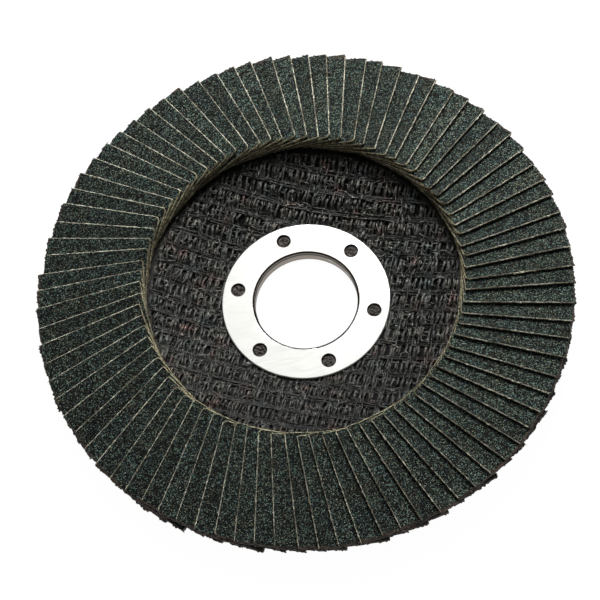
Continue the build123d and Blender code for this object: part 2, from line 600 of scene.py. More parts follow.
def steel_material(name, colour, haze):
    """Stamped tinplate under clear lacquer: near-white haze and faint rolling lines."""
    material, add, spot = new_material(name)
    stretched = add(
        "ShaderNodeMapping", {"Vector": spot, "Scale": (1.0, 14.0, 1.0), "Rotation": (0, 0, 0.5)}
    )
    lines = add("ShaderNodeTexNoise", {"Vector": stretched, "Scale": 260.0, "Detail": 5.0})
    metal = add(RAMP, [lines], stops=((0.3, scaled(colour, 0.9)), (0.7, colour)))
    dull = add("ShaderNodeMapRange", [lines, 0.0, 1.0, haze, haze + 0.14])
    bump = add("ShaderNodeBump", {"Strength": 0.12, "Distance": 0.02 * MM, "Height": lines})
    return dressed(material, Base_Color=metal, Metallic=0.82, Roughness=dull, Normal=bump)


# ---------------------------------------------------------------- flaps

# what a flap's face is made of, by number
GRIT, FREE_LINE, FREE_SIDE, INNER_LINE, INNER_SIDE, OUTER_LINE, OUTER_SIDE, CLOTH_BACK = range(8)


def flap_blank(name, settings, corner, skew):
    """One flap with its length along +X and its free edge at -Y, cut corner rounded by corner.

    The coated face is a fine grid near the free edge, where it shows, and coarse where the
    next flap covers it. A chamfer all round carries the pale line of the cut. The ends lean
    by skew, as the strip's cuts do.
    """
    half = settings.width / 2
    x_in = math.sqrt(settings.inner_radius ** 2 - half ** 2)
    x_out = math.sqrt(settings.outer_radius ** 2 - half ** 2)
    pitch = FULL_TURN / settings.count
    bevel = settings.chamfer

    def surface(x, y):
        """Height of the coated face: straight across, twisted along."""
        along = (x - x_in) / (x_out - x_in)
        edge_z = settings.inner_z + along * (settings.outer_z - settings.inner_z)
        tilt_in = settings.step / (x_in * math.sin(pitch))
        tilt_out = settings.step / (x_out * math.sin(pitch))
        tilt = tilt_in + along * (tilt_out - tilt_in)
        return edge_z - tilt * (y + half)

    def start(depth):
        """How far the rounded corner sets a column back, at this depth from the free edge."""
        if depth >= corner:
            return 0.0
        return corner - math.sqrt(corner ** 2 - (corner - depth) ** 2)

    coarse = np.linspace(COARSE_FROM, settings.width - 2 * bevel, COARSE_COLUMNS)
    columns = []
    for depth in np.concatenate([FINE_ACROSS, coarse]):
        first = x_in + start(depth) + skew * depth + bevel
        last = x_out - 0.4 * start(depth) + 0.5 * skew * (depth - settings.width) - bevel
        columns.append([(x, -half + bevel + depth) for x in np.linspace(first, last, FLAP_ROWS)])
    grid = np.array(columns)                      # columns, rows, xy
    last_column, last_row = len(columns) - 1, FLAP_ROWS - 1

    builder = bmesh.new()
    finish = builder.faces.layers.int.new("finish")
    # level is how high a point sits on a cut, 1 at its top and 0 at its foot; the cut materials paint
    # shade and light from it
    grit, cut, level = (
        builder.verts.layers.float.new(name) for name in ("grit", "cut", "level")
    )

    def add(x, y, z, gritty, torn, high):
        vertex = builder.verts.new((x, y, z))
        vertex[grit], vertex[cut], vertex[level] = gritty, torn, high
        return vertex

    def face(corners, kind):
        builder.faces.new(corners)[finish] = kind

    top = [[add(x, y, surface(x, y), 1.0, 0.0, 1.0) for x, y in column] for column in grid]

    # outline of the grid, anticlockwise from above, with the outward direction of each point
    ring = [(c, 0) for c in range(last_column, 0, -1)]
    ring += [(0, r) for r in range(last_row)]
    ring += [(c, last_row) for c in range(last_column)]
    ring += [(last_column, r) for r in range(last_row, 0, -1)]
    outline = [grid[c, r] for c, r in ring]
    count = len(ring)
    thickness = settings.thickness
    # each drop down a cut carries its level for the painted shade
    drops = ((bevel, 1.0), ((bevel + thickness) / 2, 0.5), (thickness, 0.0))
    skirts = []
    for i in range(count):
        direction = outline[(i + 1) % count] - outline[i - 1]
        outward = np.array([direction[1], -direction[0]]) / np.linalg.norm(direction)
        x, y = outline[i] + outward * bevel
        torn = 1.0 if ring[i][1] not in (0, last_row) else 1.5
        skirts.append([add(x, y, surface(x, y) - drop, 0.0, torn, high) for drop, high in drops])

    for one, two in zip(top, top[1:]):
        for r in range(last_row):
            face((one[r], one[r + 1], two[r + 1], two[r]), GRIT)

    for i in range(count):
        j = (i + 1) % count
        left = [top[ring[i][0]][ring[i][1]], *skirts[i]]
        right = [top[ring[j][0]][ring[j][1]], *skirts[j]]
        rows = {ring[i][1], ring[j][1]}
        line, side = FREE_LINE, FREE_SIDE
        if rows == {0}:
            line, side = INNER_LINE, INNER_SIDE
        elif rows == {last_row}:
            line, side = OUTER_LINE, OUTER_SIDE
        for k, kind in enumerate((line, side, side)):
            face((left[k], left[k + 1], right[k + 1], right[k]), kind)

    # underside: one strip across for each row, and a many-sided face at each end
    foot = {key: skirts[i][-1] for i, key in enumerate(ring)}
    for r in range(1, last_row - 1):
        strip = ((0, r), (last_column, r), (last_column, r + 1), (0, r + 1))
        face([foot[key] for key in strip], CLOTH_BACK)
    inner_end = [(last_column, 1), *((c, 0) for c in range(last_column, -1, -1)), (0, 1)]
    outer_end = [
        (0, last_row - 1), *((c, last_row) for c in range(last_column + 1)),
        (last_column, last_row - 1),
    ]
    for loop in (inner_end, outer_end):
        face([foot[key] for key in reversed(loop)], CLOTH_BACK)
    return built(name, builder)


def scattered(add, points, blanks, seed, turn, size=(1, 1, 1), **order):
    """One of the blanks on each point, made real; order may hold the ID that the choice goes by."""
    stack = add("GeometryNodeJoinGeometry")
    for blank in blanks:
        shape = add("GeometryNodeObjectInfo", {"Object": blank, "As Instance": True})
        fill(stack, [shape.outputs["Geometry"]])
    choice = add(
        RANDOM, {"Min": 0, "Max": len(blanks) - 1, "Seed": seed, **order}, data_type="INT"
    )
    laid = add(
        "GeometryNodeInstanceOnPoints",
        {"Points": points, "Instance": stack, "Pick Instance": True, "Instance Index": choice,
         "Rotation": turn, "Scale": size},
    )
    return add("GeometryNodeRealizeInstances", [laid])


def flap_tree(settings, blanks, finishes):
    """Lays flaps round the axis, each a little out of true, and roughens the grit and the cuts."""
    tree, add, given = new_tree("Flap Fan", {
        "Flaps": ("Int", settings.per_sector),
        "First": ("Int", 0),
        "Pitch": ("Float", FULL_TURN / settings.count),
        "First Angle": ("Float", settings.first_angle),
        "Grain": ("Float", settings.grain),
        "Grit Height": ("Float", 0.085 * MM),
        "Fray": ("Float", 0.3 * MM),
        "Seed": ("Int", settings.seed),
    })
    line = add("GeometryNodeMeshLine", {"Count": given["Flaps"], "Offset": (0, 0, 0)})
    order = add(MATHS, [add("GeometryNodeInputIndex"), given["First"]], operation="ADD")
    slide_seed, lift_seed, tone_seed, kind_seed = FLAP_SEEDS
    stray_turn, slide, lift, tone = (
        add(RANDOM, {"Min": least, "Max": most, "ID": order, "Seed": seed})
        for least, most, seed in (
            (math.radians(-0.3), math.radians(0.3), given["Seed"]),
            (-0.4 * MM, 0.25 * MM, slide_seed), (-0.05 * MM, 0.0, lift_seed), (0.0, 1.0, tone_seed),
        )
    )
    angle = add(MATHS, [order, given["Pitch"], given["First Angle"]], operation="MULTIPLY_ADD")
    angle = add(MATHS, [angle, stray_turn], operation="ADD")
    heading = add(MATHS, [QUARTER_TURN, angle], operation="SUBTRACT")
    slid = [
        add(MATHS, [add(MATHS, [heading], operation=wave), slide], operation="MULTIPLY")
        for wave in ("COSINE", "SINE")
    ]
    spot = add("ShaderNodeCombineXYZ", [*slid, lift])
    shape = add("GeometryNodeSetPosition", {"Geometry": line, "Position": spot})
    for name, value in (("tone", tone), ("heading", heading)):
        shape = add(
            "GeometryNodeStoreNamedAttribute", {"Geometry": shape, "Name": name, "Value": value},
            data_type="FLOAT", domain="POINT",
        )
    turn = add("ShaderNodeCombineXYZ", {"Z": heading})
    shape = scattered(add, shape, blanks, kind_seed, turn, ID=order)

    # grit: each grain stands out of the coat by its own amount
    here = add("GeometryNodeInputPosition")
    density = add(MATHS, [1.0, given["Grain"]], operation="DIVIDE")
    grains = add("ShaderNodeTexVoronoi", {"Vector": here, "Scale": density}, feature="F1")
    height = add("ShaderNodeMapRange", [grains, 0.1, 0.7, 1.0, 0.0])
    height = add(MATHS, [height, add(STORED, ["grit"])], operation="MULTIPLY")
    height = add(MATHS, [height, given["Grit Height"]], operation="MULTIPLY")
    outward = add(VECTORS, [add("GeometryNodeInputNormal"), height], operation="SCALE")
    shape = add("GeometryNodeSetPosition", {"Geometry": shape, "Offset": outward})

    # cuts: the cloth's edge wanders and frays
    ragged = add(
        "ShaderNodeTexNoise",
        {"Vector": here, "Scale": 1 / (0.9 * MM), "Detail": 3.0, "Roughness": 0.7},
    )
    centred = add(VECTORS, [ragged.outputs["Color"], MIDDLE_GREY], operation="SUBTRACT")
    fray = add(MATHS, [add(STORED, ["cut"]), given["Fray"]], operation="MULTIPLY")
    torn = add(VECTORS, [centred, fray], operation="SCALE")
    shape = add("GeometryNodeSetPosition", {"Geometry": shape, "Offset": torn})

    kind = add(STORED, ["finish"], data_type="INT")
    for number, finish in enumerate(finishes):
        chosen = add("FunctionNodeCompare", [kind, number], data_type="INT", operation="EQUAL")
        shape = add("GeometryNodeSetMaterial", [shape, chosen, finish])
    add("NodeGroupOutput", [shape])
    return tree


def thread_blank(name, bend):
    """A four-sided thread one millimetre long along X, bowed by bend, with pointed ends."""
    builder = bmesh.new()
    rings = []
    for x, fullness in ((-0.5, 0.35), (-0.2, 1.0), (0.2, 1.0), (0.5, 0.35)):
        bow = bend * (0.25 - x * x)
        girth = THREAD_GIRTH * fullness
        rings.append([
            builder.verts.new((x * MM, (bow + girth * a) * MM, girth * b * MM))
            for a, b in ((1, 0), (0, 1), (-1, 0), (0, -1))
        ])
    for one, two in zip(rings, rings[1:]):
        for k in range(4):
            builder.faces.new((one[k], two[k], two[(k + 1) % 4], one[(k + 1) % 4]))
    builder.faces.new(rings[0])
    builder.faces.new(rings[-1][::-1])
    return built(name, builder)


def crumb_blank(name, seed):
    """An angular crumb about half a millimetre across, flatter than it is wide."""
    random = np.random.default_rng(seed)
    builder = bmesh.new()
    bmesh.ops.create_icosphere(builder, subdivisions=1, radius=0.25 * MM)
    for vertex in builder.verts:
        vertex.co *= random.uniform(0.65, 1.25)
        vertex.co.z *= 0.6
        vertex.co.x *= 1.3
    return built(name, builder, outward=False, smooth=False)


def fray_tree(name, sources, shapes, finish):
    """Sets small shapes over the faces of one finish of the flap pieces, headed by each flap."""
    tree, add, given = new_tree(name, {
        "Finish": ("Int", FREE_LINE),
        "Density": ("Float", 5.0e6),
        "Turn": ("Float", 0.0),
        "Spread": ("Float", 0.35),
        "Pitch Spread": ("Float", 0.3),
        "Smallest": ("Float", 0.5),
        "Largest": ("Float", 1.3),
        "Seed": ("Int", 1),
    })
    joined = add("GeometryNodeJoinGeometry")
    for source in sources:
        fill(joined, [add("GeometryNodeObjectInfo", [source]).outputs["Geometry"]])
    kind = add(STORED, ["finish"], data_type="INT")
    chosen = add(
        "FunctionNodeCompare", [kind, given["Finish"]], data_type="INT", operation="EQUAL"
    )
    points = add(
        "GeometryNodeDistributePointsOnFaces",
        {"Mesh": joined, "Selection": chosen, "Density": given["Density"], "Seed": given["Seed"]},
        distribute_method="RANDOM",
    )
    sway, nod, roll, length, girth = (
        add(RANDOM, {"Min": least, "Max": most, "Seed": seed})
        for seed, (least, most) in enumerate((
            (-1, 1), (-1, 1), (-math.pi, math.pi), (given["Smallest"], given["Largest"]),
            (0.7, 1.25),
        ), FRAY_SEED)
    )
    yaw = add(MATHS, [add(STORED, ["heading"]), given["Turn"]], operation="ADD")
    sway = add(MATHS, [sway, given["Spread"]], operation="MULTIPLY")
    yaw = add(MATHS, [yaw, sway], operation="ADD")
    pitch = add(MATHS, [nod, given["Pitch Spread"], 0.12], operation="MULTIPLY_ADD")
    turn = add("ShaderNodeCombineXYZ", [roll, pitch, yaw])
    size = add("ShaderNodeCombineXYZ", [length, girth, girth])
    strewn = scattered(add, points, shapes, FRAY_KIND_SEED, turn, size)
    strewn = add("GeometryNodeSetMaterial", {"Geometry": strewn, "Material": finish})
    add("NodeGroupOutput", [strewn])
    return tree


class FLAPDISC_OT_flaps(bpy.types.Operator):
    """Makes the abrasive flaps, in sectors of whole nodes"""
    bl_idname = "flapdisc.flaps"
    bl_label = "Abrasive Flaps"

    def execute(self, context):
        settings = context.scene.flap_settings
        blanks = [
            flap_blank(f"flap_blank_{i}", settings, corner * MM, skew)
            for i, (corner, skew) in enumerate(FLAP_SHAPES)
        ]
        soaked = settings.resin_colour
        finishes = [
            grit_material(settings),
            cut_line_material("cut_cotton_free_edge", settings.cut_colour, 1.0),
            cut_side_material("cut_cloth_free_edge", scaled(soaked, 0.25), 2.5),
            cut_line_material("cut_cotton_inner_end", linear("#ACA482"), 1.05),
            cut_side_material("cut_cloth_inner_end", linear("#37331D"), 8.0),
            cut_line_material("cut_cotton_outer_end", linear("#7A6456"), 0.7),
            cut_side_material("cut_cloth_outer_end", scaled(linear("#2C211B"), 0.35), 3.0),
            cloth_back_material(settings),
        ]
        tree = flap_tree(settings, blanks, finishes)
        nodes_held = settings.per_sector // FLAPS_PER_NODE
        for sector in range(settings.count // settings.per_sector):
            piece = grown(
                f"flaps_sector_{sector + 1}", tree, {"First": sector * settings.per_sector}
            )
            first_node = sector * nodes_held + 1
            names = [f"flaps_{first_node + i:02d}" for i in range(nodes_held)]
            place(piece, "abrasive_cloth", *names)
        discard(blanks)
        return {"FINISHED"}


class FLAPDISC_OT_fray(bpy.types.Operator):
    """Frays the cut cloth: threads on the free edges and inner ends, crumbs on the outer ends"""
    bl_idname = "flapdisc.fray"
    bl_label = "Frayed Cuts"

    def execute(self, context):
        settings = context.scene.flap_settings
        sectors = settings.count // settings.per_sector
        sources = [bpy.data.objects[f"flaps_sector_{i + 1}"] for i in range(sectors)]
        threads = [thread_blank(f"thread_blank_{i}", bend) for i, bend in enumerate((0.1, 0.35, -0.3))]
        crumbs = [crumb_blank(f"crumb_blank_{i}", seed) for i, seed in enumerate((3, 5, 8))]
        cotton = cut_line_material("loose_cotton", settings.cut_colour, 1.25)
        dull_cotton = cut_line_material("resin_stained_cotton", linear("#978F73"), 1.0)
        scorched = resin_material("scorched_crumbs", linear("#0F0B09"), 0.5 * MM, 0.6)
        for name, shapes, finish, values in (
            ("fray_free_edges", threads, cotton,
             {"Finish": FREE_LINE, "Density": 4.0e6, "Spread": 0.3, "Seed": 1}),
            ("fray_inner_ends", threads, dull_cotton,
             {"Finish": INNER_SIDE, "Density": 3.0e6, "Turn": QUARTER_TURN, "Spread": 0.35,
              "Seed": 2, "Pitch Spread": 0.25, "Largest": 2.2}),
            ("crumbs_outer_ends", crumbs, scorched,
             {"Finish": OUTER_SIDE, "Density": 2.6e6, "Turn": QUARTER_TURN, "Spread": 0.5,
              "Seed": 3, "Pitch Spread": 0.5, "Smallest": 0.6, "Largest": 1.7}),
        ):
            piece = grown(name, fray_tree(name, sources, shapes, finish), values)
            place(piece, "abrasive_cloth")
        discard(threads + crumbs)
        return {"FINISHED"}


# ---------------------------------------------------------------- woven plate

def dropped(add, given, x, y):
    """Where a line along Z through (x, y), from the front or the rear, meets the surface."""
    start = add(MATHS, [given["Side"], RAY_START], operation="MULTIPLY")
    down = add(MATHS, [given["Side"], -1.0], operation="MULTIPLY")
    surface = add("GeometryNodeObjectInfo", [given["Surface"]])
    hit = add("GeometryNodeRaycast", {
        "Target Geometry": surface.outputs["Geometry"],
        "Source Position": add("ShaderNodeCombineXYZ", [x, y, start]),
        "Ray Direction": add("ShaderNodeCombineXYZ", {"Z": down}),
        "Ray Length": 2 * RAY_START,
    })
    return hit.outputs["Hit Position"]


def strand_tree():
    """Lays the strands of one set of rovings over the plate, up and down through the weave."""
    tree, add, given = new_tree("Glass Rovings", {
        "Surface": ("Object", None),
        "Finish": ("Material", None),
        "Rovings": ("Int", 17),
        "Strands": ("Int", 5),
        "Pitch": ("Float", 4 * MM),
        "Cross Pitch": ("Float", 4 * MM),
        "Strand Gap": ("Float", 0.5 * MM),
        "Strand Radius": ("Float", 0.25 * MM),
        "Inner Radius": ("Float", 17.8 * MM),
        "Outer Radius": ("Float", 33.2 * MM),
        "Press Radius": ("Float", 18.4 * MM),
        "Shift": ("Float", 0.0),
        "Cross Shift": ("Float", 0.0),
        "Lift": ("Float", 0.2 * MM),
        "Crimp": ("Float", 0.25 * MM),
        "Waves": ("Float", 0.5),
        "Alternate": ("Float", 1.0),
        "Unevenness": ("Float", 0.1 * MM),
        "Thinnest": ("Float", 0.6),
        "Stray": ("Float", 0.22),
        "Wander": ("Float", 0.3 * MM),
        "Direction": ("Float", 0.0),
        "Side": ("Float", 1.0),
        "Segments": ("Int", 44),
        "Seed": ("Int", 1),
    })

    # one point for each half strand: which half, which strand, which roving
    halves = add(MATHS, [given["Rovings"], given["Strands"]], operation="MULTIPLY")
    halves = add(MATHS, [halves, 2.0], operation="MULTIPLY")
    shape = add("GeometryNodeMeshLine", {"Count": halves, "Offset": (0, 0, 0)})
    index = add("GeometryNodeInputIndex")
    half = add(MATHS, [index, 2.0], operation="MODULO")
    way = add(MATHS, [half, -2.0, 1.0], operation="MULTIPLY_ADD")
    pair = add(MATHS, [index, 2.0], operation="DIVIDE")
    pair = add(MATHS, [pair], operation="FLOOR")
    strand = add(MATHS, [pair, given["Strands"]], operation="MODULO")
    roving = add(MATHS, [pair, given["Strands"]], operation="DIVIDE")
    roving = add(MATHS, [roving], operation="FLOOR")

    # both are counted from the middle one
    last = add(MATHS, [given["Strands"], 1.0], operation="SUBTRACT")
    strand = add(MATHS, [last, -0.5, strand], operation="MULTIPLY_ADD")
    last = add(MATHS, [given["Rovings"], 1.0], operation="SUBTRACT")
    roving = add(MATHS, [last, -0.5, roving], operation="MULTIPLY_ADD")
    odd = add(MATHS, [roving, 2.0], operation="MODULO")
    odd = add(MATHS, [odd], operation="ABSOLUTE")
    parity = add(MATHS, [odd, -2.0, 1.0], operation="MULTIPLY_ADD")

    stray = add(RANDOM, {"Min": -0.5, "Max": 0.5, "ID": pair, "Seed": given["Seed"]})
    crown = add(RANDOM, {"Min": -1.0, "Max": 1.0, "ID": pair, "Seed": CROWN_SEED})
    lane = add(MATHS, [roving, given["Pitch"], given["Shift"]], operation="MULTIPLY_ADD")
    lane = add(MATHS, [strand, given["Strand Gap"], lane], operation="MULTIPLY_ADD")
    most = add(MATHS, [given["Strand Gap"], given["Stray"]], operation="MULTIPLY")
    lane = add(MATHS, [stray, most, lane], operation="MULTIPLY_ADD")
    for name, value in (
        ("lane", lane), ("way", way), ("parity", parity), ("crown", crown), ("pair", pair)
    ):
        shape = add(
            "GeometryNodeStoreNamedAttribute", {"Geometry": shape, "Name": name, "Value": value},
            data_type="FLOAT", domain="POINT",
        )
    off = add(MATHS, [lane], operation="ABSOLUTE")
    rim = add(MATHS, [given["Outer Radius"], RIM_MARGIN], operation="SUBTRACT")
    off = add("FunctionNodeCompare", [off, rim], data_type="FLOAT", operation="GREATER_THAN")
    shape = add("GeometryNodeDeleteGeometry", [shape, off], domain="POINT")
    unit = add("GeometryNodeCurvePrimitiveLine", {"Start": (0, 0, 0), "End": (1, 0, 0)})
    unit = add("GeometryNodeResampleCurve", {"Curve": unit, "Count": given["Segments"]})
    shape = add("GeometryNodeInstanceOnPoints", {"Points": shape, "Instance": unit})
    shape = add("GeometryNodeRealizeInstances", [shape])
    lane, way, parity, crown, pair = (
        add(STORED, [name]) for name in ("lane", "way", "parity", "crown", "pair")
    )

    # run each half from the hub ring's side to the rim
    share = add("ShaderNodeSeparateXYZ", [add("GeometryNodeInputPosition")]).outputs["X"]
    lane_squared = add(MATHS, [lane, lane], operation="MULTIPLY")
    ends = []
    for radius in (given["Inner Radius"], given["Outer Radius"]):
        squared = add(MATHS, [radius, radius], operation="MULTIPLY")
        squared = add(MATHS, [squared, lane_squared], operation="SUBTRACT")
        squared = add(MATHS, [squared, 0.0], operation="MAXIMUM")
        ends.append(add(MATHS, [squared], operation="SQRT"))
    near, far = ends
    reach = add(MATHS, [far, near], operation="SUBTRACT")
    reach = add(MATHS, [reach, share, near], operation="MULTIPLY_ADD")
    along = add(MATHS, [reach, way], operation="MULTIPLY")

    # wander sideways and up and down, a little differently in each strand
    depth = add(MATHS, [given["Seed"], SEED_STEP], operation="MULTIPLY")
    depth = add(MATHS, [pair, PAIR_STEP, depth], operation="MULTIPLY_ADD")
    noise_at = add("ShaderNodeCombineXYZ", [along, lane, depth])
    drift = add("ShaderNodeTexNoise", {"Vector": noise_at, "Scale": 1 / WANDER_LENGTH, "Detail": 2.0})
    wobble = add(VECTORS, [drift.outputs["Color"], MIDDLE_GREY], operation="SUBTRACT")
    wobble = add("ShaderNodeSeparateXYZ", [wobble]).outputs
    sideways = add(MATHS, [wobble["X"], given["Wander"], lane], operation="MULTIPLY_ADD")
    whole = add(MATHS, [given["Waves"], FULL_TURN], operation="MULTIPLY")
    phase = add(MATHS, [along, given["Cross Shift"]], operation="SUBTRACT")
    phase = add(MATHS, [phase, given["Cross Pitch"]], operation="DIVIDE")
    phase = add(MATHS, [phase, whole], operation="MULTIPLY")
    wave = add(MATHS, [phase], operation="COSINE")
    sign = add(MATHS, [parity, 1.0], operation="SUBTRACT")
    sign = add(MATHS, [given["Alternate"], sign, 1.0], operation="MULTIPLY_ADD")
    wave = add(MATHS, [wave, sign], operation="MULTIPLY")
    height = add(MATHS, [wave, given["Crimp"], given["Lift"]], operation="MULTIPLY_ADD")
    height = add(MATHS, [crown, given["Unevenness"], height], operation="MULTIPLY_ADD")
    heave = add(MATHS, [given["Unevenness"], 3.0], operation="MULTIPLY")
    height = add(MATHS, [wobble["Y"], heave, height], operation="MULTIPLY_ADD")

    # pressed flat at the hub ring
    flat = add("ShaderNodeCombineXYZ", [along, sideways])
    turned = add(
        "ShaderNodeVectorRotate", {"Vector": flat, "Angle": given["Direction"]},
        rotation_type="Z_AXIS",
    )
    radius = add(VECTORS, [turned], operation="LENGTH")
    free_from = add(MATHS, [given["Press Radius"], PRESS_BAND], operation="ADD")
    free = add(
        "ShaderNodeMapRange", [radius, given["Press Radius"], free_from, PRESSED, 1.0],
        interpolation_type="SMOOTHSTEP",
    )
    height = add(MATHS, [height, free], operation="MULTIPLY")

    # laid on the plate, from the front or from the rear
    turned = add("ShaderNodeSeparateXYZ", [turned]).outputs
    hit = add("ShaderNodeSeparateXYZ", [dropped(add, given, turned["X"], turned["Y"])])
    height = add(MATHS, [height, given["Side"], hit.outputs["Z"]], operation="MULTIPLY_ADD")
    final = add("ShaderNodeCombineXYZ", [turned["X"], turned["Y"], height])
    shape = add("GeometryNodeSetPosition", {"Geometry": shape, "Position": final})
    shape = add("GeometryNodeSetCurveNormal", {"Curve": shape}, mode="Z_UP")

    # strands vanish to a hair in places, and spread out where they are pressed
    thick = add("ShaderNodeMapRange", [drift, 0.36, 0.66, given["Thinnest"], 1.3])
    thick = add(MATHS, [thick, 0.05], operation="MAXIMUM")
    spread = add("ShaderNodeMapRange", [free, PRESSED, 1.0, 1.7, 1.0])
    thick = add(MATHS, [thick, spread], operation="MULTIPLY")
    shape = add("GeometryNodeSetCurveRadius", {"Curve": shape, "Radius": thick})
    oval = add(
        "GeometryNodeCurvePrimitiveCircle", {"Resolution": 5, "Radius": given["Strand Radius"]},
        mode="RADIUS",
    )
    oval = add("GeometryNodeTransform", {"Geometry": oval, "Scale": (1.0, 0.62, 1.0)})
    shape = add(
        "GeometryNodeCurveToMesh", {"Curve": shape, "Profile Curve": oval, "Fill Caps": True}
    )
    shape = add("GeometryNodeSetShadeSmooth", {"Geometry": shape})
    shape = add("GeometryNodeRealizeInstances", [shape])
    shape = add("GeometryNodeSetMaterial", {"Geometry": shape, "Material": given["Finish"]})
    add("NodeGroupOutput", [shape])
    return tree


def filament_tree(shapes, finish):
    """Strews loose glass filaments over a face of the plate, mostly along its two weave directions."""
    tree, add, given = new_tree("Loose Filaments", {
        "Surface": ("Object", None),
        "Inner Radius": ("Float", 18.6 * MM),
        "Outer Radius": ("Float", 33 * MM),
        "Count": ("Int", 900),
        "Side": ("Float", 1.0),
        "Lift": ("Float", 0.35 * MM),
        "Direction": ("Float", 0.0),
    })
    area, bearing, rise, quarter, sway, bend, roll, pitch, length, girth = (
        add(RANDOM, {"Min": least, "Max": most, "Seed": seed})
        for seed, (least, most) in enumerate((
            (0, 1), (0, FULL_TURN), (0.1, 1.15), (0, 1), (-1, 1), (0, 0.7), (-0.6, 0.6),
            (-0.12, 0.12), (0.7, 2.8), (0.9, 2.6),
        ), LOOSE_SEED)
    )
    line = add("GeometryNodeMeshLine", {"Count": given["Count"], "Offset": (0, 0, 0)})
    inner, outer = (
        add(MATHS, [given[name], given[name]], operation="MULTIPLY")
        for name in ("Inner Radius", "Outer Radius")
    )
    span = add(MATHS, [outer, inner], operation="SUBTRACT")
    radius = add(MATHS, [area, span, inner], operation="MULTIPLY_ADD")
    radius = add(MATHS, [radius], operation="SQRT")
    x, y = (
        add(MATHS, [radius, add(MATHS, [bearing], operation=wave)], operation="MULTIPLY")
        for wave in ("COSINE", "SINE")
    )
    rise = add(MATHS, [rise, given["Lift"]], operation="MULTIPLY")
    rise = add(MATHS, [rise, given["Side"]], operation="MULTIPLY")
    raised = add("ShaderNodeCombineXYZ", {"Z": rise})
    spot = add(VECTORS, [dropped(add, given, x, y), raised], operation="ADD")
    points = add("GeometryNodeSetPosition", {"Geometry": line, "Position": spot})
    quarter = add(MATHS, [quarter], operation="ROUND")
    yaw = add(MATHS, [quarter, QUARTER_TURN], operation="MULTIPLY")
    yaw = add(MATHS, [yaw, given["Direction"]], operation="ADD")
    bend = add(MATHS, [sway, bend], operation="MULTIPLY")
    yaw = add(MATHS, [yaw, bend], operation="ADD")
    turn = add("ShaderNodeCombineXYZ", [roll, pitch, yaw])
    size = add("ShaderNodeCombineXYZ", [length, girth, girth])
    strewn = scattered(add, points, shapes, LOOSE_KIND_SEED, turn, size)
    strewn = add("GeometryNodeSetMaterial", {"Geometry": strewn, "Material": finish})
    add("NodeGroupOutput", [strewn])
    return tree


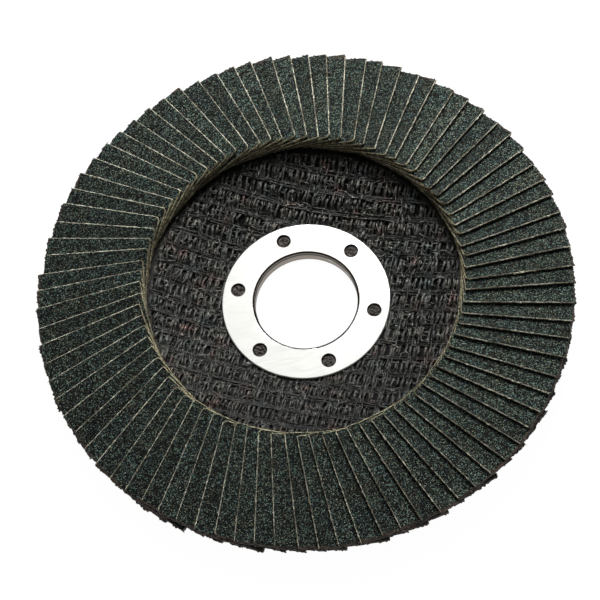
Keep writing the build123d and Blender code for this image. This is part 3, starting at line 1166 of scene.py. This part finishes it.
class FLAPDISC_OT_plate(bpy.types.Operator):
    """Weaves the glass rovings over both faces of the plate and coats the plate with resin"""
    bl_idname = "flapdisc.plate"
    bl_label = "Woven Plate"

    def execute(self, context):
        settings = context.scene.plate_settings
        resin = resin_material("black_phenolic_resin", settings.resin_colour, 1.2 * MM, 0.6, 0.12)
        for name in ("fibre_layer_front", "fibre_layer_middle", "fibre_layer_rear"):
            coat_node(name, resin)
        tree = strand_tree()
        plate_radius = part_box("fibre_layer_rear")[1].x
        ring_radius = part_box("front_ring")[1].x
        warp, weft = settings.warp_pitch, settings.weft_pitch
        strand, crimp = settings.strand_radius, settings.crimp
        # bars lie on top, short strokes arch up between them, and a few ties cross over
        bars = {"Pitch": warp, "Cross Pitch": weft, "Shift": settings.warp_shift, "Strands": 4,
                "Strand Gap": 0.3 * MM, "Strand Radius": 0.85 * strand, "Lift": 1.2 * crimp,
                "Crimp": 0.4 * crimp, "Unevenness": 0.22 * MM, "Wander": 0.6 * MM,
                "Thinnest": 0.0, "Finish": glass_material(settings, "coated_glass_bars", 0.9, 0.3)}
        crossing = {"Pitch": weft, "Cross Pitch": warp, "Cross Shift": settings.warp_shift}
        ties = {**crossing, "Strands": 2, "Strand Gap": 1.1 * MM, "Strand Radius": 0.9 * strand,
                "Lift": 1.7 * crimp, "Crimp": 0.5 * crimp, "Unevenness": 0.24 * MM,
                "Wander": 1.4 * MM, "Thinnest": -0.6, "Stray": 0.6,
                "Finish": glass_material(settings, "coated_glass_ties", 1.0, 0.3)}
        # the strokes' glass is drawn 3.4 times as bright as the bars', a painted highlight on the
        # strokes that arch up toward the light
        strokes = {**crossing, "Shift": weft / 2, "Strands": 4, "Strand Gap": weft / 4,
                   "Strand Radius": 1.1 * strand, "Lift": 1.5 * crimp, "Crimp": -1.35 * crimp,
                   "Waves": 1.0, "Alternate": 0.0, "Unevenness": 0.28 * MM, "Wander": 1.2 * MM,
                   "Thinnest": -0.3, "Stray": 0.7,
                   "Finish": glass_material(settings, "coated_glass_strokes_painted_highlight", 3.4, 0.4)}
        sets = (("bars", bars, 0.0), ("ties", ties, QUARTER_TURN), ("strokes", strokes, QUARTER_TURN))
        for face, side, pressed, outer, segments in (
            ("front", 1.0, -0.1 * MM, 33.4 * MM, 46),
            ("rear", -1.0, 3.5 * MM, plate_radius - 0.2 * MM, 52),
        ):
            shared = {
                "Surface": frame["nodes"]["fibre_layer_" + face],
                "Inner Radius": ring_radius - 0.6 * MM,
                "Outer Radius": outer,
                "Press Radius": ring_radius + pressed,
                "Side": side,
                "Segments": segments,
                "Seed": settings.seed,
            }
            for name, values, turn in sets:
                rovings = 2 * math.ceil(outer / values["Pitch"]) + 1
                direction = settings.direction + turn
                piece = grown(
                    f"glass_{name}_{face}", tree,
                    {**shared, **values, "Rovings": rovings, "Direction": direction},
                )
                place(piece, "glass_fibre")
        filaments = [
            thread_blank(f"filament_blank_{i}", bend) for i, bend in enumerate((0.05, 0.3, -0.25))
        ]
        pale_glass = glass_material(settings, "loose_glass_filament", 6.0, 0.5)
        strewn = filament_tree(filaments, pale_glass)
        for face, side, clear, outer in (
            ("front", 1.0, 0.4 * MM, 33.0 * MM), ("rear", -1.0, 5.0 * MM, plate_radius - 0.5 * MM)
        ):
            piece = grown(f"loose_glass_{face}", strewn, {
                "Surface": frame["nodes"]["fibre_layer_" + face], "Outer Radius": outer,
                "Side": side, "Count": settings.filaments, "Inner Radius": ring_radius + clear,
                "Lift": 2.7 * crimp, "Direction": settings.direction,
            })
            place(piece, "glass_fibre")
        discard(filaments)
        return {"FINISHED"}


# ---------------------------------------------------------------- hub

def merged_copy(node_name, piece_name):
    """A copy of a CAD node's mesh with its loose triangles joined."""
    mesh = frame["nodes"][node_name].data.copy()
    mesh.materials.clear()
    builder = bmesh.new()
    builder.from_mesh(mesh)
    bmesh.ops.remove_doubles(builder, verts=builder.verts, dist=0.001 * MM)
    bmesh.ops.dissolve_limit(
        builder, angle_limit=math.radians(1.0), verts=builder.verts, edges=builder.edges
    )
    bmesh.ops.recalc_face_normals(builder, faces=builder.faces)
    builder.to_mesh(mesh)
    builder.free()
    mesh.name = piece_name
    return mesh_object(piece_name, mesh)


def hole_centres(settings):
    """Centres of the ring's holes, from the first one round."""
    bearings = [settings.hole_angle + k * FULL_TURN / HOLES for k in range(HOLES)]
    return [Vector((math.cos(b), math.sin(b), 0)) * settings.hole_circle for b in bearings]


def widen_front_ring(vertices, settings, bore):
    """Wears the ring's own hole and its six small ones a little wider than drawn."""
    holes = [centre.xy for centre in hole_centres(settings)]
    for vertex in vertices:
        reach = vertex.co.xy.length
        if reach < bore:
            worn = settings.lip + EDGE_WEAR * (reach - settings.bore_radius)
            vertex.co.xy *= (reach + worn) / reach
        for hole in holes:
            if (vertex.co.xy - hole).length < HOLE_REACH * settings.hole_radius:
                vertex.co.xy = hole + (vertex.co.xy - hole) * settings.hole_wear


def raise_sleeve(vertices, bore):
    """Narrows the sleeve inside the glass layers and raises its lip to the front ring."""
    lip_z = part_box("front_ring")[0].z - LIP_GAP
    for vertex in vertices:
        reach = vertex.co.xy.length
        if vertex.co.z > SLEEVE_FROM and reach < bore:
            vertex.co.z = lip_z
        elif vertex.co.z > SLEEVE_FROM:
            vertex.co.xy *= NECK_RADIUS / reach
            vertex.co.z = NECK_Z


def resin_buttons(settings, finish):
    """Rough, slightly sunken buttons of resin, one in each hole of the ring."""
    low, high = (corner.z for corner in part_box("resin_plugs"))
    rim = settings.hole_radius * settings.hole_wear
    builder = bmesh.new()
    for middle in hole_centres(settings):
        rows = []
        for r in range(1, PLUG_RINGS + 1):
            share = r / PLUG_RINGS
            row = []
            for k in range(PLUG_SPOKES):
                around = FULL_TURN * k / PLUG_SPOKES
                spot = middle + Vector((math.cos(around), math.sin(around), 0)) * rim * share
                lump = noise.fractal(spot / PLUG_LUMP, 0.6, 2.1, 3) * (1 - share ** 6)
                z = high - PLUG_SUNK - PLUG_DIP * share ** 4 + PLUG_ROUGH * lump
                row.append(builder.verts.new((spot.x, spot.y, z)))
            rows.append(row)
        top = builder.verts.new((middle.x, middle.y, rows[0][0].co.z))
        base = [builder.verts.new((v.co.x, v.co.y, low)) for v in rows[-1]]
        foot = builder.verts.new((middle.x, middle.y, low))
        for k in range(PLUG_SPOKES):
            j = (k + 1) % PLUG_SPOKES
            builder.faces.new((top, rows[0][k], rows[0][j]))
            for one, two in zip(rows, rows[1:]):
                builder.faces.new((one[k], two[k], two[j], one[j]))
            builder.faces.new((rows[-1][k], base[k], base[j], rows[-1][j]))
            builder.faces.new((foot, base[j], base[k]))
    made = built("resin_buttons", builder)
    made.data.materials.append(finish)
    return made


class FLAPDISC_OT_hub(bpy.types.Operator):
    """Makes the steel hub rings and the resin in their holes"""
    bl_idname = "flapdisc.hub"
    bl_label = "Hub"

    def execute(self, context):
        settings = context.scene.hub_settings
        plug = resin_material("plug_resin", settings.plug_colour, 0.5 * MM, 0.55)
        bore_edge_shade = resin_material("bore_edge_painted_shade", linear("#18100A"), 0.6 * MM, 0.8, 0.05)
        bore = settings.bore_radius + BORE_MARGIN
        around_holes = settings.hole_circle + HOLE_MARGIN
        # the bore's walls are darker than the faces, partly sheared steel and partly painted shade
        # inside the bore
        for name, wall_and_shade_colour in (("front_ring", "#8C857C"), ("rear_ring", "#9E968E")):
            piece = merged_copy(name, name + "_stamped")
            mesh = piece.data
            finishes = {
                "face": steel_material(name + "_tinplate", settings.steel_colour, 0.12),
                "wall": steel_material(name + "_sheared_wall_and_shade", linear(wall_and_shade_colour), 0.5),
                "hole": plug,
                "edge": bore_edge_shade,
            }
            for finish in finishes.values():
                mesh.materials.append(finish)
            slots = list(finishes)
            for face in mesh.polygons:
                radius, upright = face.center.xy.length, abs(face.normal.z)
                # the faces of the bore's rounded edge take a near-black finish, a painted shade line
                # all round the bore's edge
                if radius < bore and upright < LEVEL:
                    face.material_index = slots.index("wall" if upright < SHEER else "edge")
                elif name == "front_ring" and upright < STEEP and radius < around_holes:
                    face.material_index = slots.index("hole")
            if name == "front_ring":
                widen_front_ring(mesh.vertices, settings, bore)
            else:
                raise_sleeve(mesh.vertices, bore)
            mesh.shade_smooth()
            mesh.set_sharp_from_angle(angle=math.radians(9))
            place(piece, "hub_steel", name)
        place(resin_buttons(settings, plug), "phenolic_resin", "resin_plugs")
        return {"FINISHED"}


class FLAPDISC_OT_glue(bpy.types.Operator):
    """Gives the adhesive bead a near-black finish, partly painted shade at the foot of the flaps'
    inner wall
    """
    bl_idname = "flapdisc.glue"
    bl_label = "Flap Adhesive"

    def execute(self, context):
        # near-black epoxy, drawn this dark as painted shade at the foot of the flaps' inner wall
        coat_node("flap_glue", resin_material("cured_epoxy_painted_shade", linear("#12110C"), 1.0 * MM, 0.5))
        return {"FINISHED"}


# ---------------------------------------------------------------- stage

def area_light(name, place_at, width, power):
    """A round soft lamp that looks at the middle of the disc."""
    data = bpy.data.lights.new(name, "AREA")
    data.shape = "DISK"
    data.size = width
    data.energy = power
    lamp = bpy.data.objects.new(name, data)
    bpy.context.scene.collection.objects.link(lamp)
    lamp.location = place_at
    lamp.rotation_euler = (Vector(LIGHTS_AIM) - Vector(place_at)).to_track_quat("-Z", "Y").to_euler()


def sweep_floor(settings):
    """The floor: a disc whose rim sweeps up, matt paint that also glows."""
    builder = bmesh.new()
    turns = [FULL_TURN * k / FLOOR_SPOKES for k in range(FLOOR_SPOKES)]
    rings = [
        [builder.verts.new((radius * math.cos(t), radius * math.sin(t), z)) for t in turns]
        for radius, z in FLOOR_PROFILE
    ]
    builder.faces.new(rings[0])
    for lower, upper in zip(rings, rings[1:]):
        for k in range(FLOOR_SPOKES):
            j = (k + 1) % FLOOR_SPOKES
            builder.faces.new((lower[k], upper[k], upper[j], lower[j]))
    floor = built("floor", builder, outward=False)
    material, _, _ = new_material("backlit_white_acrylic")
    dressed(
        material, Base_Color=settings.floor_colour, Roughness=0.7, Emission_Color=(1, 1, 1, 1),
        Emission_Strength=settings.glow,
    )
    floor.data.materials.append(material)
    return floor


class FLAPDISC_OT_stage(bpy.types.Operator):
    """Sets up the pale floor, the soft light and the camera"""
    bl_idname = "flapdisc.stage"
    bl_label = "Stage"

    def execute(self, context):
        settings = context.scene.stage_settings
        scene = context.scene
        floor = sweep_floor(settings)
        floor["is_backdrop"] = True

        world = bpy.data.worlds.new("studio")
        world.use_nodes = True
        sky = world.node_tree.nodes["Background"]
        fill(sky, {"Color": (1, 1, 1, 1), "Strength": settings.ambient})
        scene.world = world
        scene.view_settings.view_transform = "Standard"

        area_light("key", KEY_AT, KEY_WIDTH, settings.key_power)
        area_light("overhead", OVERHEAD_AT, OVERHEAD_WIDTH, settings.overhead_power)

        # the hub's front face is the point that the camera's distance counts from
        hub = Vector((0, 0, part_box("front_ring")[1].z))
        tilt = QUARTER_TURN - settings.elevation
        look = Matrix.Rotation(tilt, 4, "X") @ Matrix.Rotation(settings.roll, 4, "Z")
        offset = Vector((-settings.aim_right, -settings.aim_up, settings.distance))
        data = bpy.data.cameras.new("camera")
        data.lens = settings.lens
        data.sensor_width = 36
        data.clip_start = 0.01
        camera = bpy.data.objects.new("camera", data)
        scene.collection.objects.link(camera)
        camera.matrix_world = Matrix.Translation(hub) @ look @ Matrix.Translation(offset)
        scene.camera = camera
        return {"FINISHED"}


# ---------------------------------------------------------------- panel and registration

STEPS = (
    FLAPDISC_OT_stage, FLAPDISC_OT_flaps, FLAPDISC_OT_fray, FLAPDISC_OT_plate, FLAPDISC_OT_hub,
    FLAPDISC_OT_glue,
)
GROUPS = {
    "flap_settings": FlapSettings,
    "plate_settings": PlateSettings,
    "hub_settings": HubSettings,
    "stage_settings": StageSettings,
}


class FLAPDISC_PT_panel(bpy.types.Panel):
    """Lists the steps that build the disc"""
    bl_idname = "FLAPDISC_PT_panel"
    bl_label = "Flap Disc"
    bl_space_type = "VIEW_3D"
    bl_region_type = "UI"
    bl_category = "Flap Disc"

    def draw(self, context):
        for step in STEPS:
            self.layout.operator(step.bl_idname)


def register():
    for made in (*GROUPS.values(), *STEPS, FLAPDISC_PT_panel):
        bpy.utils.register_class(made)
    for name, group in GROUPS.items():
        setattr(bpy.types.Scene, name, PointerProperty(type=group))


def unregister():
    for name in GROUPS:
        delattr(bpy.types.Scene, name)
    for made in (FLAPDISC_PT_panel, *reversed(STEPS), *reversed(GROUPS.values())):
        bpy.utils.unregister_class(made)


def main():
    register()
    bpy.ops.flapdisc.stage()
    bpy.ops.flapdisc.flaps()
    bpy.ops.flapdisc.fray()
    bpy.ops.flapdisc.plate()
    bpy.ops.flapdisc.hub()
    bpy.ops.flapdisc.glue()
    corners = {"cad": cad_box, "visual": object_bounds()}
    plain = {name: [[float(v) for v in corner] for corner in box] for name, box in corners.items()}


if __name__ == "__main__":
    main()
